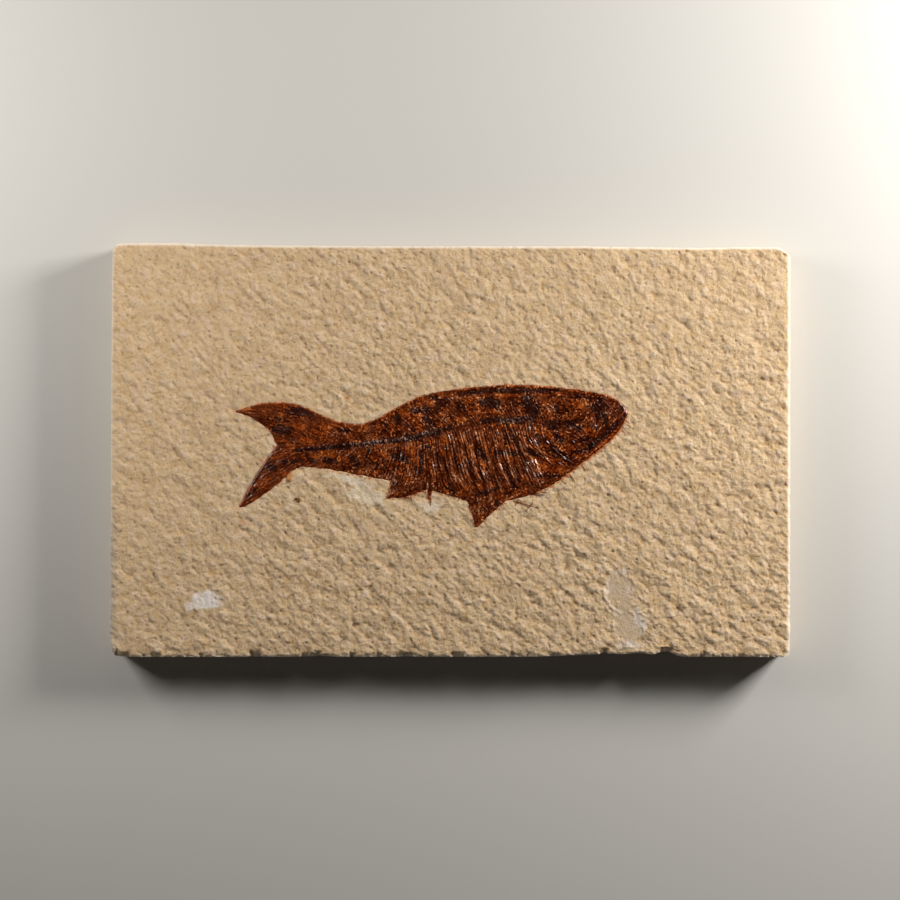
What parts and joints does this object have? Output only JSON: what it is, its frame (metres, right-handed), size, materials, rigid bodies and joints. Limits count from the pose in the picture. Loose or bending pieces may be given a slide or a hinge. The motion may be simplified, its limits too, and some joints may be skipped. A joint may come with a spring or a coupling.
{
  "type": "fossil fish in limestone slab",
  "caption": "Small herring-like fossil fish, dark brown bone lying on its side in the pecked face of a flat rectangular slab of tan limestone.",
  "frame": {"origin": "middle of the slab's flat underside", "axes": "+Z out of the fossil face, +X along the slab towards the fish's snout, +Y towards the fish's back"},
  "size_m": [0.165, 0.1004, 0.0106],
  "materials": {
    "limestone": "rough pecked limestone",
    "fossil_bone": "varnished dark brown mineralised bone"
  },
  "bodies": {
    "root": {"limestone_slab": "limestone", "fossil_fish": "fossil_bone"}
  },
  "joints": []
}
